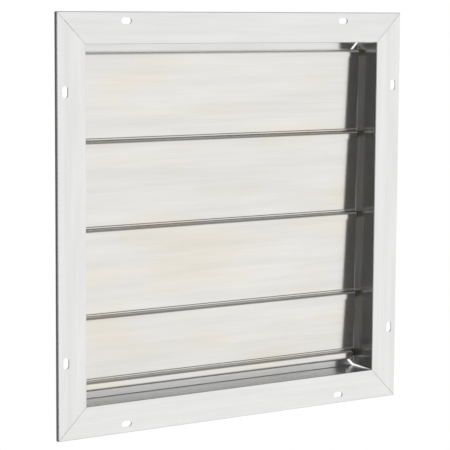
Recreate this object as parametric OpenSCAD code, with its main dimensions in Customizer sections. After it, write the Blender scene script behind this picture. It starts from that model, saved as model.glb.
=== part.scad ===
// Gable shutter: a square aluminium frame with a screw flange, and four
// blades that hang from pins near their top edges and swing out through
// the flange side when air pushes on them.
// X runs along the blades, Y points from the flange into the box, Z is up.
// The origin is the centre of the flange's front face.

/* [Flange] */
// Width over the flange
overall_w = 457.2; // [430:0.1:500]
// Height over the flange
overall_h = 457.2; // [440:0.1:480]
// Width of the flange on each side
flange_w = 34.4; // [32:0.1:40]
// Wall thickness of the frame strips
metal_t = 1.6; // [1.3:0.1:2]
// Depth of the turned outer edge, measured from the front face
edge_depth = 5; // [4.6:0.1:7]
// Rounding of the flange's front edges
edge_r = 0.8; // [0.4:0.1:1.2]

/* [Box] */
// Depth of the box behind the flange's front face
box_depth = 38.1; // [37.5:0.1:50]
// Width of the rear lip, from the box wall inward
lip_w = 10; // [8:0.1:11]
// Rounding inside the corner between wall and lip
lip_fillet_r = 1; // [0.5:0.1:2]

/* [Corner joints] */
// Gap between the mitred flanges
mitre_gap = 0.3; // [0.1:0.05:0.6]
// Gap between the mitred lips at the rear of the box
box_gap = 3.2; // [1:0.1:4]
// Distance from the outer edge to the rib that guides the corner keys
rib_edge = 26.4; // [24:0.1:28]
// Thickness of the ribs and hooks of the key channel
rib_t = 1.2; // [1:0.1:1.4]
// How far each hook reaches over the key
hook_w = 1.8; // [1:0.1:2.4]
// Length of a corner key along each side
key_leg = 56; // [40:1:70]
// Clearance between key and channel
key_fit = 0.2; // [0.1:0.05:0.4]

/* [Screw slots] */
// Width of a slot
slot_w = 7; // [5:0.1:8]
// Length of a slot from end to end
slot_l = 12.7; // [9:0.1:16]
// Distance from the outer edge to the middle of a slot
slot_edge = 9.7; // [9:0.1:14]
// Distance between the two slots on each side
slot_spacing = 288.9; // [260:0.1:300]

/* [Blades] */
// Distance of the pivots in front of the box's rear
pivot_inset = 8.7; // [8:0.1:10]
// Distance from the box's top wall down to the first pivot
first_drop = 12.7; // [11:0.1:16]
// Distance from one pivot to the next
blade_pitch = 95.9; // [88:0.1:98]
// Height of the sill strip's tube above the box's bottom wall
sill_rise = 16.7; // [16:0.1:21]
// Gap between a blade's end and the box wall
blade_end_gap = 5.6; // [4:0.1:8]
// Thickness of the blade metal
blade_t = 1; // [0.8:0.1:1.2]
// Outer diameter of the tube along a blade's top edge
tube_d = 6.6; // [5.6:0.1:7]
// Height of the upright neck, from the pivot down to the step in the blade
neck_h = 4.9; // [4:0.1:8]
// How far the blade's face stands back from its neck at the step
face_step = 1; // [0.5:0.1:1.4]
// How far the middle of the bottom edge lies behind the pivot
foot_back = 1.2; // [0.5:0.1:2]
// The same for the lowest blade
last_foot_back = 1; // [0.5:0.1:2]
// Diameter of the bead along the bottom edge
bead_d = 3; // [2:0.1:3.4]
// Clearance of a swinging bottom edge over the tube below it
swing_gap = 0.7; // [0.5:0.1:1.5]
// How far the seal leg behind the tube rises past the edge above it
leg_lap = 0.2; // [0.1:0.1:0.6]
// Gap between the seal leg and the bottom edge in front of it
leg_gap = 0.6; // [0.4:0.1:1]

/* [Sill strip] */
// Gap between the sill strip's end and the box wall
sill_end_gap = 9.9; // [7:0.1:14]
// Rounding of the strip's front foot
sill_foot_r = 3; // [2:0.1:3.4]
// How far the foot's end overlaps the bottom lip
sill_lap = 0.6; // [0.3:0.1:1]

/* [Pins and bushings] */
// Diameter of the pivot pins
pin_d = 2.8; // [2.4:0.1:3]
// Length of pin pressed into a blade's tube
pin_grip = 16; // [10:1:30]
// How far a pin stands out of its bushing
pin_proud = 0.8; // [0.4:0.1:2]
// Radial clearance of a pin in its bushing
pin_fit = 0.05; // [0.02:0.01:0.1]
// Diameter of a bushing's hub inside the box
hub_d = 8; // [6.5:0.1:9]
// Gap between a hub and the blade's end
hub_gap = 0.8; // [0.4:0.1:1.4]
// Diameter of a bushing in the wall's hole
shank_d = 5; // [4.6:0.1:6]
// Diameter of a bushing's head outside the box
head_d = 7.4; // [7:0.1:9]
// Thickness of a bushing's head
head_t = 1.2; // [0.8:0.1:2]

/* [Hidden] */
$fn = 64;
arc_steps = 6;
far = 300;
opening_w = overall_w - 2 * flange_w;
opening_h = overall_h - 2 * flange_w;
pivot_depth = box_depth - pivot_inset;
wall_x = opening_w / 2;
lip_front = box_depth - metal_t;
lip_edge = flange_w + lip_w;
wedge_angle = atan((box_gap - mitre_gap) / 2 / (box_depth - metal_t));
hook_front = edge_depth - rib_t;
key_t = hook_front - metal_t - key_fit;
key_w = rib_edge - metal_t - 2 * key_fit;
tube_r = tube_d / 2;
bead_r = bead_d / 2;
face_y = face_step - tube_r;
blade_len = opening_w - 2 * blade_end_gap;
sill_len = opening_w - 2 * sill_end_gap;
first_z = opening_h / 2 - first_drop;
sill_z = -opening_h / 2 + sill_rise;
pivot_z = [for (i = [0:3]) first_z - i * blade_pitch];
drop = [blade_pitch, blade_pitch, blade_pitch, pivot_z[3] - sill_z];
foot_y = [foot_back, foot_back, foot_back, last_foot_back];
edge_rise = tube_r + swing_gap;
leg_tip = edge_rise + leg_lap;
leg_y = max(foot_back, last_foot_back) + bead_r + leg_gap;
side = [-1, 1];
side_name = ["left", "right"];

// Points along an arc round c, from angle a0 to a1
function arc(c, r, a0, a1) =
    [for (i = [0:arc_steps]) let (a = a0 + (a1 - a0) * i / arc_steps) c + r * [cos(a), sin(a)]];

// Section of a frame strip: first value inward from the outer edge, second the depth
function strip_section() = concat(
    arc([edge_r, edge_r], edge_r, 180, 270),
    arc([flange_w - edge_r, edge_r], edge_r, 270, 360),
    arc([flange_w + lip_fillet_r, lip_front - lip_fillet_r], lip_fillet_r, 180, 90),
    [[lip_edge, lip_front], [lip_edge, box_depth]],
    arc([flange_w, box_depth - metal_t], metal_t, 90, 180),
    [[flange_w - metal_t, metal_t]],
    [[rib_edge + rib_t, metal_t], [rib_edge + rib_t, edge_depth]],
    [[rib_edge - hook_w, edge_depth], [rib_edge - hook_w, hook_front]],
    [[rib_edge, hook_front], [rib_edge, metal_t]],
    [[metal_t, metal_t], [metal_t, hook_front]],
    [[metal_t + hook_w, hook_front], [metal_t + hook_w, edge_depth], [0, edge_depth]]);

// Section of a blade's neck and face, round its pivot: first value back, second up
function face_section(fall, foot) =
    let (front = foot - blade_t / 2, low = edge_rise + bead_r - fall)
    [[-tube_r, 0], [-tube_r, -neck_h], [face_y, -neck_h], [front, low], [front + blade_t, low],
     [face_y + blade_t, -neck_h], [blade_t - tube_r, blade_t - neck_h], [blade_t - tube_r, 0]];

// Section of the leg that rises behind the tube
function leg_section(back) =
    [[tube_r - blade_t, blade_t], [tube_r - blade_t / 4, 0],
     [back + blade_t, leg_tip], [back, leg_tip]];

// Section of the sill strip's neck and foot, which rests on the bottom lip
function sill_section() =
    let (fore = -tube_r, back = lip_front - pivot_depth,
         low = lip_w - sill_lap - sill_rise, c = [fore + sill_foot_r, low + sill_foot_r])
    concat([[fore, 0]],
           arc(c, sill_foot_r, 180, 270),
           [[back, low], [back, low + blade_t]],
           arc(c, sill_foot_r - blade_t, 270, 180),
           [[fore + blade_t, 0]]);

// Extrudes a section of back and up values along X
module along_x(len) {
    rotate([90, 0, 90]) linear_extrude(height = len, center = true) children();
}

// A cylinder along X, from x0 to x1
module rod(x0, x1, d) {
    translate([x0, 0, 0]) rotate([0, 90, 0]) cylinder(h = x1 - x0, d = d);
}

module slot() {
    depth = metal_t + 2;
    half = (slot_l - slot_w) / 2;
    translate([0, -1, 0]) rotate([-90, 0, 0]) {
        for (x = [-half, half]) translate([x, 0, 0]) cylinder(h = depth, d = slot_w);
        translate([-half, -slot_w / 2, 0]) cube([2 * half, slot_w, depth]);
    }
}

// Removes a strip's end on its mitre plane, with a gap that widens towards the rear
module mitre_cut(len) {
    translate([len / 2, 0, 0]) rotate([0, 45, 0]) translate([-mitre_gap / 2, 0, 0]) {
        translate([0, -far / 2, -far / 2]) cube(far);
        translate([0, metal_t, 0]) rotate([0, 0, wedge_angle]) translate([0, 0, -far / 2]) cube(far);
    }
}

// One mitred frame strip, its outer edge on z = 0 and its box side below
module frame_strip(len) {
    difference() {
        rotate([0, 90, 0]) linear_extrude(height = len, center = true) polygon(strip_section());
        for (s = side) {
            scale([s, 1, 1]) mitre_cut(len);
            translate([s * slot_spacing / 2, 0, -slot_edge]) slot();
        }
    }
}

module bushing_holes(s) {
    for (z = concat(pivot_z, [sill_z])) {
        translate([0, pivot_depth, z]) scale([s, 1, 1]) rod(wall_x - 1, wall_x + metal_t + 1, shank_d);
    }
}

module frame_top() {
    color("gainsboro") translate([0, 0, overall_h / 2]) frame_strip(overall_w);
}

module frame_bottom() {
    color("lightgray") translate([0, 0, -overall_h / 2]) rotate([0, 180, 0]) frame_strip(overall_w);
}

module frame_side(s) {
    color("lightgray") difference() {
        translate([s * overall_w / 2, 0, 0]) rotate([0, s * 90, 0]) frame_strip(overall_h);
        bushing_holes(s);
    }
}

// Flat angle in the channel behind the flange, across one mitre
module corner_key(sx, sz) {
    x = overall_w / 2 - metal_t - key_fit;
    z = overall_h / 2 - metal_t - key_fit;
    color("darkgray") scale([sx, 1, sz]) translate([0, metal_t + key_t, 0]) rotate([90, 0, 0])
        linear_extrude(height = key_t)
            polygon([[x, z], [x, z - key_leg], [x - key_w, z - key_leg],
                     [x - key_w, z - key_w], [x - key_leg, z - key_w], [x - key_leg, z]]);
}

// A blade with its tube round the pivot at i, its face and the bead at its foot
module blade(i) {
    color("silver") translate([0, pivot_depth, pivot_z[i]]) difference() {
        union() {
            along_x(blade_len) circle(d = tube_d);
            along_x(blade_len) polygon(face_section(drop[i], foot_y[i]));
            along_x(blade_len) polygon(leg_section(leg_y));
            along_x(blade_len) translate([foot_y[i], edge_rise + bead_r - drop[i]]) circle(d = bead_d);
        }
        rod(-blade_len / 2 - 1, blade_len / 2 + 1, pin_d);
    }
}

// Fixed strip of the blade section that closes the gap above the bottom lip
module sill_strip() {
    color("silver") translate([0, pivot_depth, sill_z]) difference() {
        union() {
            along_x(sill_len) circle(d = tube_d);
            along_x(sill_len) polygon(sill_section());
            along_x(sill_len) polygon(leg_section(leg_y));
        }
        rod(-sill_len / 2 - 1, sill_len / 2 + 1, pin_d);
    }
}

// Pin from inside a tube that ends at x_end, out through the wall and its bushing
module pin(s, x_end, z) {
    color("darkgray") translate([0, pivot_depth, z]) scale([s, 1, 1])
        rod(x_end - pin_grip, wall_x + metal_t + head_t + pin_proud, pin_d);
}

module bushing(s, x_end, z) {
    x0 = x_end + hub_gap;
    x1 = wall_x + metal_t + head_t;
    color("darkkhaki") translate([0, pivot_depth, z]) scale([s, 1, 1]) difference() {
        union() {
            rod(x0, wall_x, hub_d);
            rod(x0, x1, shank_d);
            rod(wall_x + metal_t, x1, head_d);
        }
        rod(x0 - 1, x1 + 1, pin_d + 2 * pin_fit);
    }
}

frame_top();
frame_bottom();
frame_side(-1);  // frame_left
frame_side(1);  // frame_right
corner_key(-1, 1);  // corner_key_top_left
corner_key(1, 1);  // corner_key_top_right
corner_key(-1, -1);  // corner_key_bottom_left
corner_key(1, -1);  // corner_key_bottom_right
sill_strip();
for (i = [0:3]) {
    blade(i);
}
for (k = [0:1]) {
    pin(side[k], sill_len / 2, sill_z);
    bushing(side[k], blade_len / 2, sill_z);
    for (i = [0:3]) {
        pin(side[k], blade_len / 2, pivot_z[i]);
        bushing(side[k], blade_len / 2, pivot_z[i]);
    }
}
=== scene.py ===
"""Looks for the gable shutter: mill-finish aluminium strips and blades, steel
pins and nylon bushings, in a white studio with a dark side behind the camera."""
import math

import bpy
import numpy as np
from mathutils import Matrix, Vector

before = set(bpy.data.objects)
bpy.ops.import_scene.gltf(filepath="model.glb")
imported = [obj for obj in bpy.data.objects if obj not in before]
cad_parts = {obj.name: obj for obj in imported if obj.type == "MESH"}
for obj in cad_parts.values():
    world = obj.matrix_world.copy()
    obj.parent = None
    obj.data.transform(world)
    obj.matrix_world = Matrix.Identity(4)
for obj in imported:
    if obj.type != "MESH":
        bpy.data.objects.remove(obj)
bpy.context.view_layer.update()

# Camera, in metres and in the part's own axes
CAMERA_PLACE = (-1.1422, -1.6949, 0.2332)
CAMERA_RIGHT = (0.83353, -0.55244, 0.00612)
CAMERA_UP = (0.05991, 0.10139, 0.99304)
CAMERA_BACK = (-0.54922, -0.82736, 0.11761)
SENSOR_MM = 36.0
LENS_MM = 146.74

# Studio: brightness by direction. Each dark side is its direction, its shade,
# and the angles from it where the shade ends and where the full light begins
STUDIO_BRIGHT = 0.97
DARK_SIDES = (
    ((-0.58, -0.81, 0.0), 0.030, 22.0, 46.0),
    ((-0.62, 0.78, 0.0), 0.10, 22.0, 52.0),
)
CEILING = (0.25, 8.0, 30.0)
FLOOR = (0.55, -22.0, -50.0)

# Metal
GRAIN_ACROSS_MM = 0.35
GRAIN_LENGTH_MM = 60.0


def camera():
    """Perspective camera whose axes are the right, up and back vectors above."""
    data = bpy.data.cameras.new("photo_camera")
    data.sensor_width = SENSOR_MM
    data.lens = LENS_MM
    data.clip_start = 0.01
    data.clip_end = 50.0
    cam = bpy.data.objects.new("photo_camera", data)
    axes = Matrix((CAMERA_RIGHT, CAMERA_UP, CAMERA_BACK)).transposed()
    cam.matrix_world = Matrix.Translation(CAMERA_PLACE) @ axes.to_4x4()
    bpy.context.scene.collection.objects.link(cam)
    bpy.context.scene.camera = cam


class Nodes:
    """A node tree with short calls that add a node and link its inputs."""

    def __init__(self, tree):
        self.tree = tree
        tree.nodes.clear()

    def add(self, kind, settings=None, **inputs):
        node = self.tree.nodes.new(kind)
        for name, value in (settings or {}).items():
            setattr(node, name, value)
        for name, value in inputs.items():
            self.put(node, name, value)
        return node

    def put(self, node, name, value):
        key = int(name[1:]) if name[0] == "i" and name[1:].isdigit() else name.replace("_", " ")
        socket = node.inputs[key]
        if isinstance(value, bpy.types.NodeSocket):
            self.tree.links.new(value, socket)
        else:
            socket.default_value = value

    def math(self, operation, a, b=0.0, clamp=False):
        node = self.add("ShaderNodeMath", {"operation": operation, "use_clamp": clamp}, i0=a, i1=b)
        return node.outputs[0]

    def vector(self, operation, a, b=(0.0, 0.0, 0.0), scale=None):
        node = self.add("ShaderNodeVectorMath", {"operation": operation}, i0=a, i1=b)
        if scale is not None:
            self.put(node, "Scale", scale)
        return node.outputs["Value" if operation == "DOT_PRODUCT" else "Vector"]

    def remap(self, value, low, high, to_low=0.0, to_high=1.0, smooth=False):
        kind = "SMOOTHSTEP" if smooth else "LINEAR"
        node = self.add("ShaderNodeMapRange", {"interpolation_type": kind}, Value=value)
        for name, number in zip(("From Min", "From Max", "To Min", "To Max"), (low, high, to_low, to_high)):
            node.inputs[name].default_value = number
        return node.outputs["Result"]

    def noise(self, place, scale, detail=2.0, roughness=0.5):
        node = self.add("ShaderNodeTexNoise", None, Vector=place, Scale=scale, Detail=detail, Roughness=roughness)
        return node.outputs["Fac"]

    def stretch(self, place, sizes):
        """Scales the place by one over each size, so that noise of scale 1 has features that big."""
        return self.vector("MULTIPLY", place, tuple(1.0 / size for size in sizes))


def studio():
    """White to the camera. Reflections see a room that is bright round the horizon, with
    smooth steps on the angle down to its dark sides, its ceiling and its floor."""
    world = bpy.data.worlds.new("studio")
    bpy.context.scene.world = world
    world.use_nodes = True
    n = Nodes(world.node_tree)
    direction = n.add("ShaderNodeTexCoord").outputs["Generated"]
    height = n.add("ShaderNodeSeparateXYZ", None, Vector=direction).outputs["Z"]
    room = STUDIO_BRIGHT
    for shade, near_deg, far_deg in (CEILING, FLOOR):
        near, far = (math.sin(math.radians(angle)) for angle in (near_deg, far_deg))
        low, high = sorted((near, far))
        ends = (1.0, shade) if near < far else (shade, 1.0)
        room = n.math("MULTIPLY", room, n.remap(height, low, high, *ends, smooth=True))
    for aim, shade, inner_deg, outer_deg in DARK_SIDES:
        towards = n.vector("DOT_PRODUCT", direction, tuple(Vector(aim).normalized()))
        outer, inner = (math.cos(math.radians(angle)) for angle in (outer_deg, inner_deg))
        room = n.math("MULTIPLY", room, n.remap(towards, outer, inner, 1.0, shade, smooth=True))
    seen = n.add("ShaderNodeLightPath").outputs["Is Camera Ray"]
    shade = n.math("MAXIMUM", room, seen)
    background = n.add("ShaderNodeBackground", None, Strength=shade)
    background.inputs["Color"].default_value = (1.0, 1.0, 1.0, 1.0)
    out = n.add("ShaderNodeOutputWorld", None, Surface=background.outputs[0])
    return out


def grain_place(n, along):
    """Object coordinates in units of the grain: long along the axis, fine across it."""
    place = n.add("ShaderNodeTexCoord").outputs["Object"]
    sizes = [GRAIN_ACROSS_MM / 1000.0] * 3
    sizes[along] = GRAIN_LENGTH_MM / 1000.0
    return place, n.stretch(place, sizes)


def aluminium(name, along, tone, warm=0.0, roughness=0.22, anisotropic=0.85, bands=0.04):
    """Mill-finish aluminium with its rolling grain along one axis: fine streaks move
    the colour and the roughness, wide soft bands the colour, and a shallow bump follows the streaks."""
    material = bpy.data.materials.new(name)
    material.use_nodes = True
    n = Nodes(material.node_tree)
    place, grain = grain_place(n, along)
    streak = n.noise(grain, 1.0, detail=3.0, roughness=0.6)
    wide = [0.011] * 3
    wide[along] = 0.16
    band = n.noise(n.stretch(place, wide), 1.0, detail=2.0)
    patch = n.noise(n.stretch(place, [0.10, 0.10, 0.035]), 1.0, detail=1.5)
    level = n.math("ADD", n.remap(streak, 0.25, 0.75, -0.05, 0.05), n.remap(band, 0.3, 0.7, -bands, bands))
    level = n.math("ADD", level, 1.0)
    tint = n.remap(patch, 0.40, 0.72, 0.0, warm, smooth=True)
    cool = tuple(tone) + (1.0,)
    warm_tone = (tone[0] * 1.0, tone[1] * 0.975, tone[2] * 0.90, 1.0)
    mix = n.add("ShaderNodeMix", {"data_type": "RGBA"}, i0=tint)
    mix.inputs[6].default_value = cool
    mix.inputs[7].default_value = warm_tone
    colour = n.vector("SCALE", mix.outputs[2], scale=level)
    rough = n.remap(streak, 0.2, 0.8, roughness - 0.05, roughness + 0.06)
    bump = n.add("ShaderNodeBump", None, Height=streak, Strength=0.10, Distance=0.00005)
    shader = n.add("ShaderNodeBsdfPrincipled", None, Base_Color=colour, Roughness=rough)
    shader.inputs["Metallic"].default_value = 1.0
    shader.inputs["Anisotropic"].default_value = anisotropic
    shader.inputs["Anisotropic Rotation"].default_value = 0.25
    direction = [0.0, 0.0, 0.0]
    direction[along] = 1.0
    tangent = n.add("ShaderNodeCombineXYZ")
    for socket, value in zip(tangent.inputs, direction):
        socket.default_value = value
    n.put(shader, "Tangent", tangent.outputs[0])
    n.put(shader, "Normal", bump.outputs[0])
    n.add("ShaderNodeOutputMaterial", None, Surface=shader.outputs[0])
    return material


def steel():
    """Dull plated steel with fine mottling."""
    material = bpy.data.materials.new("plated_steel")
    material.use_nodes = True
    n = Nodes(material.node_tree)
    place = n.add("ShaderNodeTexCoord").outputs["Object"]
    mottle = n.noise(place, 900.0, detail=3.0)
    colour = n.vector("SCALE", (0.50, 0.50, 0.51), scale=n.remap(mottle, 0.3, 0.7, 0.85, 1.1))
    rough = n.remap(mottle, 0.3, 0.7, 0.32, 0.48)
    shader = n.add("ShaderNodeBsdfPrincipled", None, Base_Color=colour, Roughness=rough)
    shader.inputs["Metallic"].default_value = 1.0
    n.add("ShaderNodeOutputMaterial", None, Surface=shader.outputs[0])
    return material


def nylon():
    """Olive moulded nylon with a faint mould texture."""
    material = bpy.data.materials.new("olive_nylon")
    material.use_nodes = True
    n = Nodes(material.node_tree)
    place = n.add("ShaderNodeTexCoord").outputs["Object"]
    mottle = n.noise(place, 600.0, detail=2.0)
    colour = n.vector("SCALE", (0.16, 0.145, 0.085), scale=n.remap(mottle, 0.3, 0.7, 0.88, 1.12))
    bump = n.add("ShaderNodeBump", None, Height=mottle, Strength=0.15, Distance=0.0001)
    shader = n.add("ShaderNodeBsdfPrincipled", None, Base_Color=colour)
    shader.inputs["Roughness"].default_value = 0.42
    n.put(shader, "Normal", bump.outputs[0])
    n.add("ShaderNodeOutputMaterial", None, Surface=shader.outputs[0])
    return material


def dress(materials):
    """Gives every node of the frame the first material whose words fit its name."""
    for name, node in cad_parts.items():
        chosen = next(material for words, material in materials if any(word in name for word in words))
        for slot in node.material_slots:
            slot.material = chosen
        for polygon_slot in range(len(node.data.materials)):
            node.data.materials[polygon_slot] = chosen


def colour_setup():
    scene = bpy.context.scene
    scene.view_settings.view_transform = "Standard"


def finish_materials():
    x_axis, z_axis = 0, 2
    dress([
        (("bushing",), nylon()),
        (("pin",), steel()),
        (("key",), aluminium("key_sheet", x_axis, (0.62, 0.62, 0.63), roughness=0.42, anisotropic=0.2)),
        (("blade", "sill_strip"), aluminium("blade_metal", x_axis, (0.84, 0.83, 0.81), warm=1.0, roughness=0.20, anisotropic=0.9)),
        (("frame_left", "frame_right"), aluminium("upright_strip", z_axis, (0.86, 0.86, 0.855))),
        (("frame_top", "frame_bottom"), aluminium("level_strip", x_axis, (0.86, 0.86, 0.855))),
    ])


camera()
studio()
colour_setup()
finish_materials()
